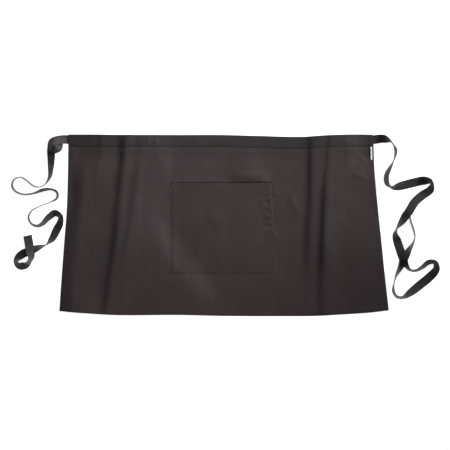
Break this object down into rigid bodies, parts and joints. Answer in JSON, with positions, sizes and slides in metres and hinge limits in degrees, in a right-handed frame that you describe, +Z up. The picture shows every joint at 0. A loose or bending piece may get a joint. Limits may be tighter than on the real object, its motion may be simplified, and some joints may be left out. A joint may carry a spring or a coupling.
{
  "type": "waist apron",
  "caption": "Long A-line cloth waist apron with a folded waistband, a wide patch pocket and two flat woven ties, lying face up.",
  "frame": {"origin": "on the surface that the apron lies on, under the middle of the apron's box without its ties", "axes": "+Z up, out of the apron's face; +Y from the hem to the waistband; +X along the waistband, to the right as seen from above"},
  "size_m": [1.1771, 0.5, 0.0285],
  "materials": {
    "twill": "matte warm charcoal cotton blend twill",
    "waistband_twill": "matte charcoal twill, folded double",
    "pocket_twill": "matte warm charcoal cotton blend twill",
    "tape": "matte charcoal flat woven tape",
    "label_satin": "white satin label, blank"
  },
  "bodies": {
    "root": {"panel": "twill", "waistband": "waistband_twill", "pocket": "pocket_twill", "tie_left": "tape", "tie_right": "tape", "label": "label_satin"}
  },
  "joints": []
}
